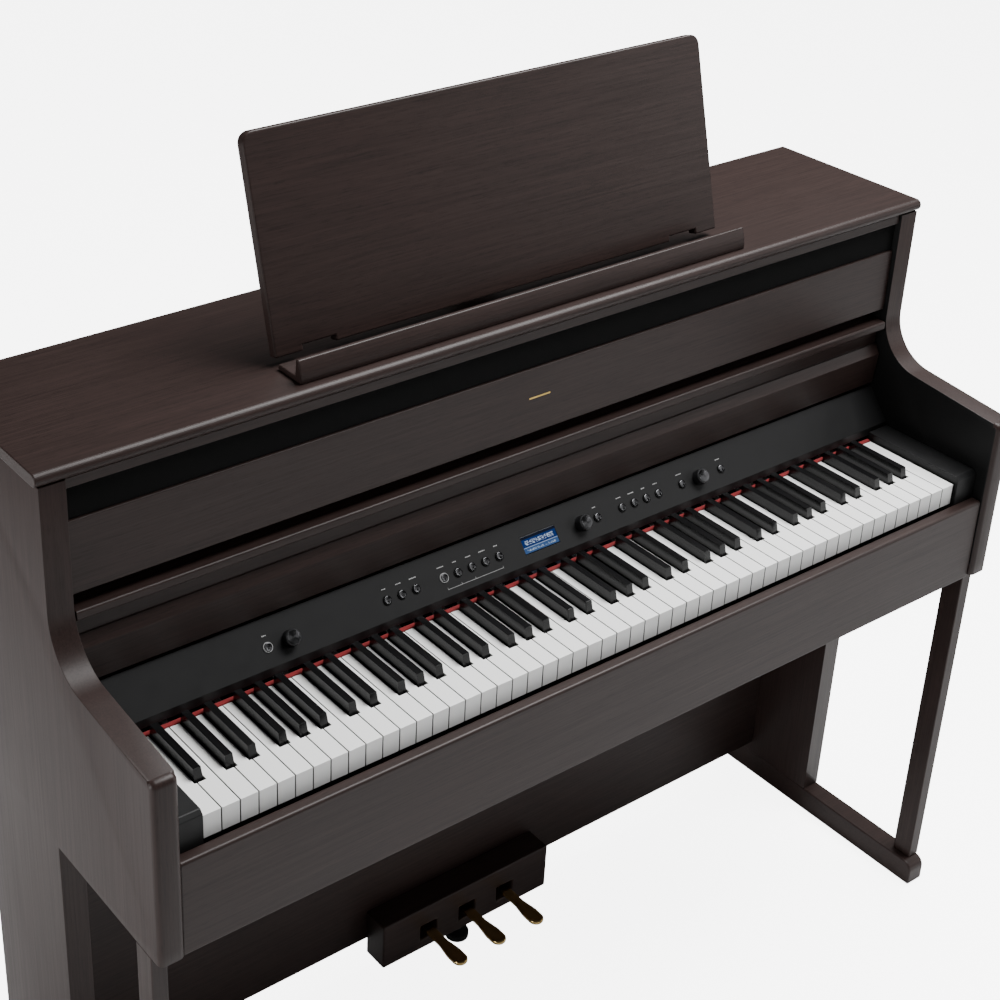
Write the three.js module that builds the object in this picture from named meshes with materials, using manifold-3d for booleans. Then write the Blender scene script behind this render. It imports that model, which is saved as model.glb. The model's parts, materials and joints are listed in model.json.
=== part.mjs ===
// Digital piano on a stand, built as a cabinet that is screwed together from boards, with a sliding
// fallboard, a folding music desk, a weighted keyboard, a control panel and a three-pedal unit.
// Millimetres, +X to the player's right, +Y to the back, +Z up, floor at Z = 0.
import * as THREE from 'three';
import { mergeVertices } from 'three/addons/utils/BufferGeometryUtils.js';
import Module from 'manifold-3d';

const wasm = await Module();
wasm.setup();

// ---------- driving dimensions ----------
const width = 1377;                    // over the lid
const depth = 476;                     // from the arms' fronts to the lid's back edge
const lidTop = 1085;
const keyTop = 737.4;                  // top of a white key
const whitePitch = 23.52;              // 52 white keys make 1223 mm
const whiteCount = 52;
const gap = 0.3;                       // between pieces that touch
const panelThickness = 32;             // side panels
const lidOverhang = 4;                 // lid past the side panels, each side

// ---------- sizes worked out from them ----------
const frontY = -depth / 2;
const backY = depth / 2;
const panelOuterX = width / 2 - lidOverhang;
const panelInnerX = panelOuterX - panelThickness;
const innerHalf = panelInnerX - gap;   // half length of everything between the side panels
const lidThickness = 16;
const lidFrontY = frontY + 212;
const upperFrontY = lidFrontY + 2.5;   // front edge of the side panels above the arms
const panelBackY = backY - 50;
const panelTopZ = lidTop - lidThickness - gap;
const armBottomZ = 584;
const footHeight = 40;

// ---------- helpers ----------
function material(color, roughness, metalness = 0) {
  return new THREE.MeshStandardMaterial({ color, roughness, metalness });
}

const wood = material(0x3a2f2c, 0.55);
const blackPlastic = material(0x17181a, 0.45);
const whiteKey = material(0xf0efec, 0.35);
const blackKey = material(0x1d1e20, 0.6);
const clothBlack = material(0x101010, 0.95);
const redFelt = material(0xb01218, 0.95);
const displayGlass = material(0x1c3f7a, 0.15);
const knobBlack = material(0x1a1b1d, 0.3, 0.3);
const brassMetal = material(0xb99a52, 0.3, 0.9);
const steel = material(0x9a9ca0, 0.4, 0.8);
const circuitGreen = material(0x1f5a34, 0.6);

const piano = new THREE.Group();

function addMesh(name, geometry, finish) {
  const mesh = new THREE.Mesh(geometry, finish);
  mesh.name = name;
  piano.add(mesh);
  return mesh;
}

// A box given by its lowest and highest corners.
function box(low, high) {
  const size = [0, 1, 2].map((axis) => high[axis] - low[axis]);
  const centre = [0, 1, 2].map((axis) => (high[axis] + low[axis]) / 2);
  return new THREE.BoxGeometry(...size).translate(...centre);
}

// A section drawn in Y and Z, run along X from x0 to x1.
function alongX(shape, x0, x1, curveSegments = 8) {
  const options = { depth: x1 - x0, bevelEnabled: false, curveSegments };
  const geometry = new THREE.ExtrudeGeometry(shape, options);
  // shape x -> Y, shape y -> Z, extrusion -> X
  const turn = new THREE.Matrix4().set(
    0, 0, 1, x0,
    1, 0, 0, 0,
    0, 1, 0, 0,
    0, 0, 0, 1,
  );
  return geometry.applyMatrix4(turn);
}

function polygon(points) {
  return new THREE.Shape(points.map(([x, y]) => new THREE.Vector2(x, y)));
}

// A body turned about Z from its outline of radius and height.
function turnedBody(outline, steps) {
  const points = outline.map(([radius, z]) => new THREE.Vector2(radius, z));
  return new THREE.LatheGeometry(points, steps).rotateX(Math.PI / 2);
}

// Booleans work on closed solids whose shared vertices are merged.
function toSolid(geometry) {
  const plain = geometry.clone();
  plain.deleteAttribute('normal');
  plain.deleteAttribute('uv');
  const merged = mergeVertices(plain, 1e-4);
  const mesh = new wasm.Mesh({
    numProp: 3,
    vertProperties: new Float32Array(merged.attributes.position.array),
    triVerts: new Uint32Array(merged.index.array),
  });
  return new wasm.Manifold(mesh);
}

function toGeometry(solid) {
  const mesh = solid.getMesh();
  const geometry = new THREE.BufferGeometry();
  geometry.setAttribute('position', new THREE.BufferAttribute(mesh.vertProperties, 3));
  geometry.setIndex(new THREE.BufferAttribute(mesh.triVerts, 1));
  return geometry;
}

function join(geometries) {
  const solids = geometries.map(toSolid);
  return toGeometry(solids.slice(1).reduce((whole, part) => whole.add(part), solids[0]));
}

function cut(geometry, tools) {
  return toGeometry(tools.map(toSolid).reduce((whole, tool) => whole.subtract(tool), toSolid(geometry)));
}

// ---------- side panels: one board each, from the top down to the rear foot ----------
const curveRadius = 70;
const curveCentreZ = 913;
const armSlope = Math.tan(THREE.MathUtils.degToRad(6.8));
const armFrontTopZ = 829;
const armCornerRadius = 10;
const rearLegFrontY = -7;

function sidePanelShape() {
  const shape = new THREE.Shape();
  const centreY = upperFrontY - curveRadius;
  const slopeAngle = Math.atan(armSlope);
  const arcEnd = -Math.PI / 2 + slopeAngle;
  shape.moveTo(panelBackY, footHeight + gap);
  shape.lineTo(panelBackY, panelTopZ);
  shape.lineTo(upperFrontY, panelTopZ);
  shape.lineTo(upperFrontY, curveCentreZ);
  shape.absarc(centreY, curveCentreZ, curveRadius, 0, arcEnd, true);
  shape.lineTo(frontY + armCornerRadius, armFrontTopZ);
  shape.quadraticCurveTo(frontY, armFrontTopZ, frontY, armFrontTopZ - armCornerRadius);
  shape.lineTo(frontY, armBottomZ);
  shape.lineTo(rearLegFrontY, armBottomZ);
  shape.lineTo(rearLegFrontY, footHeight + gap);
  shape.closePath();
  return shape;
}

addMesh('side_panel_left', alongX(sidePanelShape(), -panelOuterX, -panelInnerX, 10), wood);
addMesh('side_panel_right', alongX(sidePanelShape(), panelInnerX, panelOuterX, 10), wood);

// ---------- stand: front legs, feet, modesty panel ----------
const legThickness = 20;
const legFrontY = frontY + 20;
const legDepth = 32;
const footFrontY = frontY + 6;
const footBackY = panelBackY + 12;
const footEndRadius = 16;
const modestyFrontY = 113;
const modestyThickness = 15;
const modestyBottomZ = 60;
const modestyTopZ = 545;               // stops short of the key bed, so the speakers can sound

function footShape() {
  const shape = new THREE.Shape();
  shape.moveTo(footBackY, 0);
  shape.lineTo(footBackY, footHeight);
  shape.lineTo(footFrontY + footEndRadius, footHeight);
  shape.absarc(footFrontY + footEndRadius, footHeight - footEndRadius, footEndRadius, Math.PI / 2, Math.PI);
  shape.lineTo(footFrontY, 0);
  shape.closePath();
  return shape;
}

for (const [side, sign] of [['left', -1], ['right', 1]]) {
  const outer = sign * panelOuterX;
  const legInner = sign * (panelOuterX - legThickness);
  const legLow = [Math.min(outer, legInner), legFrontY, footHeight + gap];
  const legHigh = [Math.max(outer, legInner), legFrontY + legDepth, armBottomZ - gap];
  addMesh(`front_leg_${side}`, box(legLow, legHigh), wood);
  const footX = [sign * panelInnerX, outer].sort((a, b) => a - b);
  addMesh(`foot_${side}`, alongX(footShape(), ...footX, 5), wood);
}

addMesh('modesty_panel', box(
  [-innerHalf, modestyFrontY, modestyBottomZ],
  [innerHalf, modestyFrontY + modestyThickness, modestyTopZ],
), wood);

// ---------- cabinet: lid, fascia, speaker cloth, upper front panel, back panel ----------
const noseRadius = lidThickness / 2;
const fasciaFrontY = lidFrontY + 6;
const fasciaThickness = 18;
const clothFrontY = lidFrontY + 12;
const clothThickness = 6;
const upperPanelFrontY = lidFrontY + 9;
const fasciaBottomZ = 1056;
const upperPanelTopZ = 1014;
const upperPanelBottomZ = 922.5;
const upperPanelThickness = 15;
const backBottomZ = 612;
const backThickness = 12;

function lidShape() {
  const shape = new THREE.Shape();
  const centreZ = lidTop - noseRadius;
  shape.moveTo(backY, lidTop - lidThickness);
  shape.lineTo(backY, lidTop);
  shape.lineTo(lidFrontY + noseRadius, lidTop);
  shape.absarc(lidFrontY + noseRadius, centreZ, noseRadius, Math.PI / 2, Math.PI * 1.5);
  shape.closePath();
  return shape;
}

addMesh('top_lid', alongX(lidShape(), -width / 2, width / 2), wood);
addMesh('lid_fascia', box(
  [-innerHalf, fasciaFrontY, fasciaBottomZ],
  [innerHalf, fasciaFrontY + fasciaThickness, panelTopZ],
), wood);
addMesh('speaker_cloth', box(
  [-innerHalf, clothFrontY, upperPanelTopZ + gap],
  [innerHalf, clothFrontY + clothThickness, fasciaBottomZ - gap],
), clothBlack);
addMesh('upper_front_panel', box(
  [-innerHalf, upperPanelFrontY, upperPanelBottomZ],
  [innerHalf, upperPanelFrontY + upperPanelThickness, upperPanelTopZ],
), wood);
addMesh('back_panel', box(
  [-panelOuterX, panelBackY + gap, backBottomZ],
  [panelOuterX, panelBackY + gap + backThickness, panelTopZ],
), wood);

// ---------- bottom of the keyboard: key bed, slip, chassis, speakers ----------
const slipFrontY = frontY + 6;
const slipThickness = 16;
const slipTopZ = 706.5;
const slipBottomZ = 580;
const slipEdgeRadius = 4;
const bedThickness = 22;
const bedTopZ = slipBottomZ + bedThickness;
const chassisTopZ = 680;
const chassisFrontY = slipFrontY + slipThickness + 4;
const chassisBackY = 46;
const railY = 14;                      // balance rail under the keys' pivots
const railHalf = 5;
const stickBottomZ = 712;
const speakerX = 450;
const speakerY = 118;
const speakerRadius = 62;
const speakerHoleRadius = 52;
const speakerRimThickness = 4;
const speakerHeight = 48;
const coneHeight = 14;
const coneRadius = 50;
const dustCapRadius = 20;
const magnetRadius = 34;
const magnetBottomZ = 26;

function slipShape() {
  const shape = new THREE.Shape();
  const slipBackY = slipFrontY + slipThickness;
  shape.moveTo(slipBackY, slipBottomZ);
  shape.lineTo(slipBackY, slipTopZ);
  shape.lineTo(slipFrontY + slipEdgeRadius, slipTopZ);
  shape.absarc(slipFrontY + slipEdgeRadius, slipTopZ - slipEdgeRadius, slipEdgeRadius, Math.PI / 2, Math.PI);
  shape.lineTo(slipFrontY, slipBottomZ);
  shape.closePath();
  return shape;
}

addMesh('key_slip', alongX(slipShape(), -innerHalf, innerHalf, 4), wood);

const bedHoles = [-speakerX, speakerX].map((x) => (
  new THREE.CylinderGeometry(speakerHoleRadius, speakerHoleRadius, bedThickness * 3, 32)
    .rotateX(Math.PI / 2)
    .translate(x, speakerY, slipBottomZ)
));
addMesh('key_bed', cut(box(
  [-innerHalf, slipFrontY + slipThickness + gap, slipBottomZ],
  [innerHalf, panelBackY - gap, bedTopZ],
), bedHoles), wood);

function chassisShape() {
  const railTopZ = stickBottomZ - gap;
  return polygon([
    [chassisFrontY, bedTopZ + gap],
    [chassisBackY, bedTopZ + gap],
    [chassisBackY, chassisTopZ],
    [railY + railHalf, chassisTopZ],
    [railY + railHalf, railTopZ],
    [railY - railHalf, railTopZ],
    [railY - railHalf, chassisTopZ],
    [chassisFrontY, chassisTopZ],
  ]);
}

addMesh('key_chassis', alongX(chassisShape(), -innerHalf + 1, innerHalf - 1), blackPlastic);

// A loudspeaker: basket rim, cone wall and magnet as one turned body, facing down.
function speakerGeometry() {
  return turnedBody([
    [0, coneHeight],
    [dustCapRadius, coneHeight],
    [coneRadius, 0],
    [speakerRadius, 0],
    [speakerRadius, speakerRimThickness],
    [speakerHoleRadius, speakerRimThickness + 1],
    [magnetRadius, magnetBottomZ],
    [magnetRadius, speakerHeight],
    [0, speakerHeight],
  ], 24);
}

for (const [side, sign] of [['left', -1], ['right', 1]]) {
  const speaker = addMesh(`speaker_${side}`, speakerGeometry(), blackPlastic);
  speaker.position.set(sign * speakerX, speakerY, bedTopZ + gap);
}

// ---------- keyboard ----------
const keyFrontY = frontY + 27.5;
const capLength = 149.5;
const capBackY = keyFrontY + capLength;
const whiteGap = 1.3;
const whiteFrontHeight = 31;
const blackWidth = 12.6;
const blackTopWidth = 9.6;
const blackClearance = 1;
const blackFrontY = keyFrontY + 50.5;
const blackTopFrontY = blackFrontY + 5.5;
const blackTopZ = keyTop + 14;
const blackCapBottomZ = keyTop - 12;
const stickEndY = railY + 7;
const whiteStickTopZ = 728;
const blackStickTopZ = 731;
const movingStickTopZ = 727;
const stickWidth = 9;
const whiteStickLap = 8;               // how far the sticks run on inside the caps
const blackStickLap = 40;
const slotClearance = 1;
const combBarFrontY = stickEndY - 13;
const barLap = 4;
const barInset = 2;
const blackBarTop = 9;
const scale = ['c', 'd', 'e', 'f', 'g', 'a', 'b'];
const blackAfter = { c: -3, d: 3, f: -4, g: 0, a: 4 };   // offset of the black key that follows
const movingOctave = 4;

// The 52 white keys with their note names, A0 to C8, and the black keys between them.
const whites = [];
for (let index = 0; index < whiteCount; index += 1) {
  const note = scale[(index + 5) % 7];
  const octave = Math.floor((index + 5) / 7);
  const left = (index - whiteCount / 2) * whitePitch;
  whites.push({ note, octave, left, right: left + whitePitch });
}
const blacks = whites
  .slice(0, -1)
  .filter(({ note }) => note in blackAfter)
  .map(({ note, octave, right }) => ({ note, octave, centre: right + blackAfter[note] }));

// The cap's outline seen from above, narrowed where black keys stand beside it.
function whiteOutline({ left, right }) {
  const half = blackWidth / 2 + blackClearance;
  const beside = (x) => blacks.find(({ centre }) => Math.abs(centre - x) < whitePitch / 2);
  const leftBlack = beside(left);
  const rightBlack = beside(right);
  const headLeft = left + whiteGap / 2;
  const headRight = right - whiteGap / 2;
  const tailLeft = leftBlack ? leftBlack.centre + half : headLeft;
  const tailRight = rightBlack ? rightBlack.centre - half : headRight;
  const notchY = blackFrontY - blackClearance;
  const points = [[headLeft, keyFrontY], [headRight, keyFrontY]];
  if (rightBlack) points.push([headRight, notchY], [tailRight, notchY]);
  points.push([tailRight, capBackY], [tailLeft, capBackY]);
  if (leftBlack) points.push([tailLeft, notchY], [headLeft, notchY]);
  return { points, centre: (tailLeft + tailRight) / 2 };
}

function stick(centre, y0, topZ) {
  return box([centre - stickWidth / 2, y0, stickBottomZ], [centre + stickWidth / 2, stickEndY, topZ]);
}

function whiteKeySolids(key, stickTopZ) {
  const { points, centre } = whiteOutline(key);
  const cap = new THREE.ExtrudeGeometry(polygon(points), { depth: whiteFrontHeight, bevelEnabled: false });
  cap.translate(0, 0, keyTop - whiteFrontHeight);
  return [cap, stick(centre, capBackY - whiteStickLap, stickTopZ)];
}

// A black cap is a block whose front leans back and whose sides lean in.
function blackCap(centre) {
  const geometry = new THREE.BoxGeometry(1, 1, 1);
  const position = geometry.attributes.position;
  for (let i = 0; i < position.count; i += 1) {
    const isTop = position.getZ(i) > 0;
    const isBack = position.getY(i) > 0;
    const halfWidth = (isTop ? blackTopWidth : blackWidth) / 2;
    const frontEdge = isTop ? blackTopFrontY : blackFrontY;
    position.setX(i, centre + Math.sign(position.getX(i)) * halfWidth);
    position.setY(i, isBack ? capBackY : frontEdge);
    position.setZ(i, isTop ? blackTopZ : blackCapBottomZ);
  }
  return geometry;
}

function blackKeySolids({ centre }, stickTopZ) {
  return [blackCap(centre), stick(centre, capBackY - blackStickLap, stickTopZ)];
}

const isMoving = ({ note, octave }) => octave === movingOctave && ['c', 'd', 'e'].includes(note);

// The white keys that don't move are one comb: their sticks end in a bar, slotted for other sticks.
function barSlot(x) {
  const half = stickWidth / 2 + slotClearance;
  return box(
    [x - half, stickEndY - barLap - slotClearance, stickBottomZ - slotClearance],
    [x + half, stickEndY + slotClearance, whiteStickTopZ + slotClearance],
  );
}

const keyboardEndX = whiteCount * whitePitch / 2;
const whiteBar = box(
  [-keyboardEndX + barInset, stickEndY - barLap, stickBottomZ],
  [keyboardEndX - barInset, chassisBackY - barLap, whiteStickTopZ],
);
const slots = whites.filter(isMoving).map((key) => barSlot(whiteOutline(key).centre))
  .concat(blacks.map(({ centre }) => barSlot(centre)));
const staticWhites = whites.filter((key) => !isMoving(key)).flatMap((key) => whiteKeySolids(key, whiteStickTopZ));
addMesh('white_keys', cut(join([whiteBar, ...staticWhites]), slots), whiteKey);

// The black keys that don't move hang from a bar of their own above the white keys' sticks.
const blackBar = box(
  [blacks[0].centre - barLap, combBarFrontY, whiteStickTopZ + slotClearance],
  [blacks[blacks.length - 1].centre + barLap, stickEndY - gap, whiteStickTopZ + blackBarTop],
);
const staticBlacks = blacks.filter((key) => !isMoving(key)).flatMap((key) => blackKeySolids(key, blackStickTopZ));
addMesh('black_keys', join([blackBar, ...staticBlacks]), blackKey);

for (const key of whites.filter(isMoving)) {
  addMesh(`key_${key.note}${key.octave}`, join(whiteKeySolids(key, movingStickTopZ)), whiteKey);
}
for (const key of blacks.filter(isMoving)) {
  addMesh(`key_${key.note}_sharp${key.octave}`, join(blackKeySolids(key, movingStickTopZ)), blackKey);
}

// Cheek blocks fill the ends of the keyboard, and a felt strip closes the gap behind the keys.
const cheekInnerX = keyboardEndX + 2;
const cheekFrontY = keyFrontY - 5;
const cheekTopZ = 749;
const cheekChamfer = 5;
const cheekBackY = capBackY + 7;
const feltFrontY = capBackY + 0.5;
const feltBottomZ = 733;
const feltTopZ = keyTop + 1.6;

function cheekShape() {
  return polygon([
    [cheekFrontY, chassisTopZ + gap],
    [cheekBackY, chassisTopZ + gap],
    [cheekBackY, cheekTopZ],
    [cheekFrontY + cheekChamfer, cheekTopZ],
    [cheekFrontY, cheekTopZ - cheekChamfer],
  ]);
}

addMesh('cheek_block_left', alongX(cheekShape(), -innerHalf, -cheekInnerX), blackPlastic);
addMesh('cheek_block_right', alongX(cheekShape(), cheekInnerX, innerHalf), blackPlastic);
addMesh('felt_strip', box(
  [-keyboardEndX, feltFrontY, feltBottomZ],
  [keyboardEndX, cheekBackY, feltTopZ],
), redFelt);

// ---------- control panel with its knobs, buttons and display ----------
const slope = THREE.MathUtils.degToRad(50);
const panelEdgeY = capBackY + 9;       // lower front edge of the sloping face
const panelEdgeZ = keyTop + 16.6;
const panelLength = 58;                // up the slope
const panelWall = 4;
const skirtBottomZ = keyTop + 4.6;
const controlRow = 24;                 // height of the buttons' centres up the slope
const buttonRadius = 5.2;
const buttonProud = 2.4;
const buttonDepth = 8;
const holeClearance = 0.4;
const knobRadius = 10.5;
const knobHeight = 12;
const shaftRadius = 3;
const shaftLength = 12;
const drillLength = 30;
const buttonPitch = 22;
const displaySize = [57, 24, 5];
const displayCentreX = -1;

const upSlope = new THREE.Vector3(0, Math.cos(slope), Math.sin(slope));
const outOfPanel = new THREE.Vector3(0, -Math.sin(slope), Math.cos(slope));

// The place on the sloping face that is x across and s up from its lower edge.
function onPanel(x, s, height = 0) {
  return new THREE.Vector3(x, panelEdgeY, panelEdgeZ)
    .addScaledVector(upSlope, s)
    .addScaledVector(outOfPanel, height);
}

// Turns a geometry built along +Z so that it stands on the sloping face.
function standOnPanel(geometry, place) {
  return geometry.rotateX(slope).translate(place.x, place.y, place.z);
}

function rowOfButtons(first, count) {
  return Array.from({ length: count }, (_, index) => first + index * buttonPitch);
}

const buttons = { power_button: -416.6 };
['a', 'b', 'c'].forEach((letter, index) => {
  buttons[`mode_button_${letter}`] = rowOfButtons(-244, 3)[index];
});
['a', 'b', 'c', 'd', 'e'].forEach((letter, index) => {
  buttons[`tone_button_${letter}`] = rowOfButtons(-157, 5)[index];
});
buttons.exit_button = 97.5;
['a', 'b', 'c', 'd'].forEach((letter, index) => {
  buttons[`song_button_${letter}`] = rowOfButtons(141, 4)[index];
});
buttons.metronome_button = 250.5;
buttons.mark_button = 324.5;
const knobs = { volume_knob: -386, dial_knob: 70, tempo_knob: 282 };

function controlPanelShape() {
  const inward = [Math.sin(slope) * panelWall, -Math.cos(slope) * panelWall];
  const topY = panelEdgeY + upSlope.y * panelLength;
  const topZ = panelEdgeZ + upSlope.z * panelLength;
  return polygon([
    [panelEdgeY, skirtBottomZ],
    [panelEdgeY, panelEdgeZ],
    [topY, topZ],
    [topY + inward[0], topZ + inward[1]],
    [panelEdgeY + panelWall, panelEdgeZ + Math.tan(slope) * panelWall - panelWall / Math.cos(slope)],
    [panelEdgeY + panelWall, skirtBottomZ],
  ]);
}

function panelHole(x, radius) {
  const drill = new THREE.CylinderGeometry(radius, radius, drillLength, 20).rotateX(Math.PI / 2);
  return standOnPanel(drill, onPanel(x, controlRow));
}

const displayOpening = new THREE.BoxGeometry(displaySize[0], displaySize[1], drillLength);
const panelTools = [
  ...Object.values(buttons).map((x) => panelHole(x, buttonRadius + holeClearance)),
  ...Object.values(knobs).map((x) => panelHole(x, shaftRadius + holeClearance)),
  standOnPanel(displayOpening, onPanel(displayCentreX, controlRow)),
];
addMesh('control_panel', cut(alongX(controlPanelShape(), -innerHalf, innerHalf), panelTools), blackPlastic);

addMesh('display_window', standOnPanel(
  new THREE.BoxGeometry(displaySize[0] - 2 * gap, displaySize[1] - 2 * gap, displaySize[2]),
  onPanel(displayCentreX, controlRow, -displaySize[2] / 2 - gap),
), displayGlass);

for (const [name, x] of Object.entries(buttons)) {
  const body = new THREE.CylinderGeometry(buttonRadius, buttonRadius, buttonDepth, 20).rotateX(Math.PI / 2);
  addMesh(name, standOnPanel(body, onPanel(x, controlRow, buttonProud - buttonDepth / 2)), knobBlack);
}

function knobGeometry() {
  return turnedBody([
    [0, -shaftLength],
    [shaftRadius, -shaftLength],
    [shaftRadius, gap],
    [knobRadius, gap],
    [knobRadius, 2],
    [knobRadius - 1, knobHeight - 1],
    [knobRadius - 2, knobHeight],
    [0, knobHeight],
  ], 24);
}

for (const [name, x] of Object.entries(knobs)) {
  addMesh(name, standOnPanel(knobGeometry(), onPanel(x, controlRow)), knobBlack);
}

// ---------- fallboard: slides forward and down over the keys ----------
const slideSlope = 0.27;               // drop for each millimetre forward
const noseFrontY = lidFrontY + 1;
const noseTopZ = 905;
const noseBottomZ = 892.5;
const noseDepth = 20;
const boardThickness = 12;
const boardBackY = 178;
const fallboardHalf = innerHalf - 1.5;
const apronBottomZ = 805;
const apronTopZ = 867;
const apronFoldZ = 853;

function fallboardShape() {
  const noseBackY = noseFrontY + noseDepth;
  const riseTo = (y) => (y - noseBackY) * slideSlope;
  const edge = 3;
  const shape = new THREE.Shape();
  shape.moveTo(noseBackY, noseBottomZ);
  shape.lineTo(boardBackY, noseBottomZ + riseTo(boardBackY));
  shape.lineTo(boardBackY, noseBottomZ + boardThickness + riseTo(boardBackY));
  shape.lineTo(noseBackY, noseTopZ);
  shape.lineTo(noseFrontY + edge, noseTopZ);
  shape.absarc(noseFrontY + edge, noseTopZ - edge, edge, Math.PI / 2, Math.PI);
  shape.lineTo(noseFrontY, noseBottomZ + edge);
  shape.absarc(noseFrontY + edge, noseBottomZ + edge, edge, Math.PI, Math.PI * 1.5);
  shape.closePath();
  return shape;
}

function apronShape() {
  const foldY = noseFrontY + 2.5;
  const topY = foldY + 8.5;
  const bottomY = foldY + 4.5;
  const wall = 8;
  return polygon([
    [bottomY, apronBottomZ],
    [bottomY + wall, apronBottomZ + 7],
    [foldY + wall, apronFoldZ],
    [topY + wall + 2, apronTopZ - 4],
    [topY + wall + 2, noseBottomZ - gap],
    [topY + wall - 6, noseBottomZ - gap],
    [topY + wall - 6, apronTopZ],
    [topY, apronTopZ],
    [foldY, apronFoldZ],
  ]);
}

addMesh('fallboard', alongX(fallboardShape(), -fallboardHalf, fallboardHalf, 4), wood);
addMesh('fallboard_apron', alongX(apronShape(), -fallboardHalf, fallboardHalf), wood);

// ---------- music desk: ledge fixed to the lid, hinged desk, prop behind it ----------
const ledgeHalf = 351;
const ledgeFrontY = lidFrontY + 17;
const ledgeHeight = 28;
const ledgeBaseTopZ = lidTop + 7;
const deskHalf = 350;
const deskLean = THREE.MathUtils.degToRad(75);
const deskThickness = 14;
const deskHingeY = 52;
const deskHingeZ = lidTop + 16;
const deskBelowHinge = 7;
const deskAboveHinge = 252;
const deskCornerRadius = 14;
const deskNotch = { from: 266, to: 312, height: 7 };
const propHalfWidth = 35;
const propThickness = 4;
const propUpDesk = 128;
const propLength = 137.5;
const propLean = THREE.MathUtils.degToRad(-75.3);
const propOffset = deskThickness / 2 + propThickness / 2 + 0.5;

function ledgeShape() {
  const lipBackY = ledgeFrontY + 13;
  const baseZ = lidTop + gap;
  const topZ = baseZ + ledgeHeight;
  const shape = new THREE.Shape();
  shape.moveTo(deskHingeY - 14, baseZ);
  shape.lineTo(deskHingeY - 14, ledgeBaseTopZ);
  shape.lineTo(lipBackY, ledgeBaseTopZ);
  shape.lineTo(lipBackY - 2, topZ);
  shape.lineTo(ledgeFrontY + 6, topZ);
  shape.quadraticCurveTo(ledgeFrontY - 1, baseZ + ledgeHeight / 2, ledgeFrontY, baseZ);
  shape.closePath();
  return shape;
}

addMesh('music_ledge', alongX(ledgeShape(), -ledgeHalf, ledgeHalf, 6), wood);

// The desk is drawn flat, X across and Y up from the hinge line, then leaned back.
function deskOutline() {
  const shape = new THREE.Shape();
  const bottom = -deskBelowHinge;
  const notchTop = bottom + deskNotch.height;
  shape.moveTo(-deskHalf, bottom);
  shape.lineTo(-deskNotch.to, bottom);
  shape.lineTo(-deskNotch.to, notchTop);
  shape.lineTo(-deskNotch.from, notchTop);
  shape.lineTo(-deskNotch.from, bottom);
  shape.lineTo(deskNotch.from, bottom);
  shape.lineTo(deskNotch.from, notchTop);
  shape.lineTo(deskNotch.to, notchTop);
  shape.lineTo(deskNotch.to, bottom);
  shape.lineTo(deskHalf, bottom);
  shape.lineTo(deskHalf, deskAboveHinge - deskCornerRadius);
  shape.absarc(deskHalf - deskCornerRadius, deskAboveHinge - deskCornerRadius, deskCornerRadius, 0, Math.PI / 2);
  shape.absarc(-deskHalf + deskCornerRadius, deskAboveHinge - deskCornerRadius, deskCornerRadius, Math.PI / 2, Math.PI);
  shape.closePath();
  return shape;
}

const deskGroup = new THREE.Group();
deskGroup.position.set(0, deskHingeY, deskHingeZ);
deskGroup.rotation.x = deskLean;
piano.add(deskGroup);

const deskGeometry = new THREE.ExtrudeGeometry(deskOutline(), {
  depth: deskThickness, bevelEnabled: false, curveSegments: 6,
}).translate(0, 0, -deskThickness / 2);
const desk = new THREE.Mesh(deskGeometry, wood);
desk.name = 'music_desk';
deskGroup.add(desk);

// The prop hangs from the desk's back; its pivot is propUpDesk up the desk and propOffset behind it.
const propPivot = new THREE.Vector3(
  0,
  deskHingeY + Math.cos(deskLean) * propUpDesk + Math.sin(deskLean) * propOffset,
  deskHingeZ + Math.sin(deskLean) * propUpDesk - Math.cos(deskLean) * propOffset,
);
const prop = addMesh('desk_prop', box(
  [-propHalfWidth, 0, -propThickness / 2],
  [propHalfWidth, propLength, propThickness / 2],
), wood);
prop.position.copy(propPivot);
prop.rotation.x = propLean;

// ---------- pedal unit ----------
const pedalBoxHalf = 155;
const pedalBoxFrontY = 70;
const pedalBoxBottomZ = 34;
const pedalBoxTopZ = 112;
const pedalSpacing = 72;
const pedalZ = 70;
const pedalThickness = 7;
const pedalWidth = 24;
const pedalFrontY = pedalBoxFrontY - 85;
const pedalPivotY = pedalBoxFrontY + 18;
const pedalBackY = pedalPivotY + 8;
const pedalNeckHalf = 8;
const pedalNeckY = pedalFrontY + 50;
const pedalShoulderY = pedalFrontY + pedalWidth / 2 + 14;
const pedalOpening = { halfWidth: 15, below: 18, above: 8, depth: 30 };

const pedalCentres = { soft_pedal: -pedalSpacing, middle_pedal: 0, damper_pedal: pedalSpacing };
const pedalPockets = Object.values(pedalCentres).map((x) => box(
  [x - pedalOpening.halfWidth, pedalBoxFrontY - 1, pedalZ - pedalOpening.below],
  [x + pedalOpening.halfWidth, pedalBoxFrontY + pedalOpening.depth, pedalZ + pedalOpening.above],
));
addMesh('pedal_box', cut(box(
  [-pedalBoxHalf, pedalBoxFrontY, pedalBoxBottomZ],
  [pedalBoxHalf, modestyFrontY - gap, pedalBoxTopZ],
), pedalPockets), wood);

function pedalOutline(centre) {
  const tip = pedalWidth / 2;
  const shape = new THREE.Shape();
  shape.moveTo(centre - pedalNeckHalf, pedalBackY);
  shape.lineTo(centre - pedalNeckHalf, pedalNeckY);
  shape.lineTo(centre - tip, pedalShoulderY);
  shape.lineTo(centre - tip, pedalFrontY + tip);
  shape.absarc(centre, pedalFrontY + tip, tip, Math.PI, Math.PI * 2);
  shape.lineTo(centre + tip, pedalShoulderY);
  shape.lineTo(centre + pedalNeckHalf, pedalNeckY);
  shape.lineTo(centre + pedalNeckHalf, pedalBackY);
  shape.closePath();
  return shape;
}

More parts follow.
